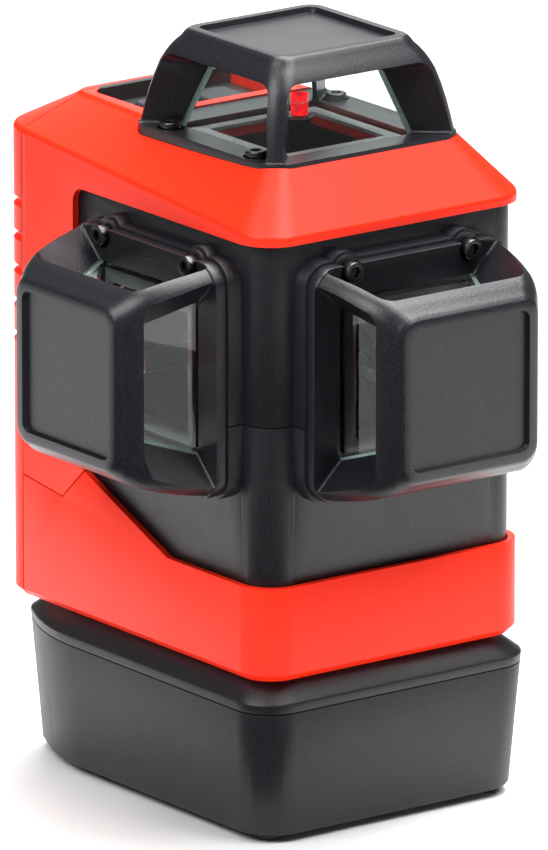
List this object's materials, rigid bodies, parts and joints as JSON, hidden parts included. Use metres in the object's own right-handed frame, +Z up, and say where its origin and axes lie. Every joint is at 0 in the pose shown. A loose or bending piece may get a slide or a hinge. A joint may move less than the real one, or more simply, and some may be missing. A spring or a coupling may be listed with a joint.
{
  "type": "line laser level",
  "caption": "Self-levelling line laser: red and charcoal housing with caged glass windows on its top, front and side, on a swivel base with rubber feet.",
  "frame": {"origin": "middle of the footprint, on the surface that the feet stand on", "axes": "+Z up along the plumb axis, -Y out of the front window, -X out of the side window"},
  "size_m": [0.119, 0.1466, 0.2022],
  "materials": {
    "red_plastic": "satin moulded",
    "charcoal_plastic": "fine spark-textured",
    "black_plastic": "satin",
    "foot_rubber": "matt",
    "key_rubber": "silicone key",
    "window_glass": "clear plate glass with a green edge",
    "prism_glass": "polished",
    "pale_plastic": "satin",
    "black_screw": "black oxide",
    "black_anodised": "black anodised, turned",
    "cast_aluminium": "die cast",
    "damping_copper": "copper-coloured, turned",
    "magnet_steel": "nickel plated",
    "circuit_board": "solder resist"
  },
  "bodies": {
    "base": {"base_tray": "charcoal_plastic", "base_cover": "charcoal_plastic", "foot_1": "foot_rubber", "foot_2": "foot_rubber", "foot_3": "foot_rubber", "foot_4": "foot_rubber"},
    "head": {"swivel_spigot": "black_plastic", "lower_band": "red_plastic", "housing_lower": "charcoal_plastic", "housing_upper": "charcoal_plastic", "top_shell": "red_plastic", "rear_cover": "red_plastic", "battery_pack": "black_plastic", "main_board": "circuit_board", "keypad_bezel": "black_plastic", "gimbal_yoke": "cast_aluminium", "damping_magnet": "magnet_steel", "top_cage": "charcoal_plastic", "top_ring": "pale_plastic", "top_pane_1": "window_glass", "top_pane_2": "window_glass", "top_pane_3": "window_glass", "top_pane_4": "window_glass", "top_screw_1": "black_screw", "top_screw_2": "black_screw", "top_screw_3": "black_screw", "top_screw_4": "black_screw", "front_cage": "charcoal_plastic", "front_ring": "black_plastic", "front_pane_1": "window_glass", "front_pane_2": "window_glass", "front_pane_3": "window_glass", "front_pane_4": "window_glass", "front_screw_1": "black_screw", "front_screw_2": "black_screw", "side_cage": "charcoal_plastic", "side_ring": "black_plastic", "side_pane_1": "window_glass", "side_pane_2": "window_glass", "side_pane_3": "window_glass", "side_pane_4": "window_glass", "side_screw_1": "black_screw", "side_screw_2": "black_screw"},
    "battery_door": {"battery_door": "charcoal_plastic"},
    "lock_switch": {"lock_switch": "red_plastic"},
    "power_button": {"button_power": "key_rubber"},
    "lines_button": {"button_lines": "key_rubber"},
    "gimbal": {"gimbal_ring": "cast_aluminium"},
    "pendulum": {"pendulum_frame": "cast_aluminium", "damping_disc": "damping_copper", "top_laser": "black_anodised", "top_cone_prism": "prism_glass", "front_laser": "black_anodised", "front_cone_prism": "prism_glass", "side_laser": "black_anodised", "side_cone_prism": "prism_glass"}
  },
  "joints": [
    {"name": "head_swivel", "type": "hinge", "parent": "base", "child": "head", "pos_m": [0.0147, 0.00095, 0.0433], "axis": [0, 0, 1], "continuous": true},
    {"name": "battery_door_hinge", "type": "hinge", "parent": "head", "child": "battery_door", "pos_m": [0.0147, 0.07135, 0.0579], "axis": [-1, 0, 0], "range_deg": [0, 95]},
    {"name": "lock_slide", "type": "slide", "parent": "head", "child": "lock_switch", "axis": [0, 1, 0], "range_m": [0, 0.009]},
    {"name": "power_press", "type": "slide", "parent": "head", "child": "power_button", "axis": [0, 0, -1], "range_m": [0, 0.0005], "stiffness_N_per_m": 1500},
    {"name": "lines_press", "type": "slide", "parent": "head", "child": "lines_button", "axis": [0, 0, -1], "range_m": [0, 0.0005], "stiffness_N_per_m": 1500},
    {"name": "gimbal_roll", "type": "hinge", "parent": "head", "child": "gimbal", "pos_m": [0.0147, 0.00095, 0.148], "axis": [1, 0, 0], "range_deg": [-4, 4]},
    {"name": "gimbal_pitch", "type": "hinge", "parent": "gimbal", "child": "pendulum", "pos_m": [0.0147, 0.00095, 0.148], "axis": [0, 1, 0], "range_deg": [-4, 4]}
  ]
}
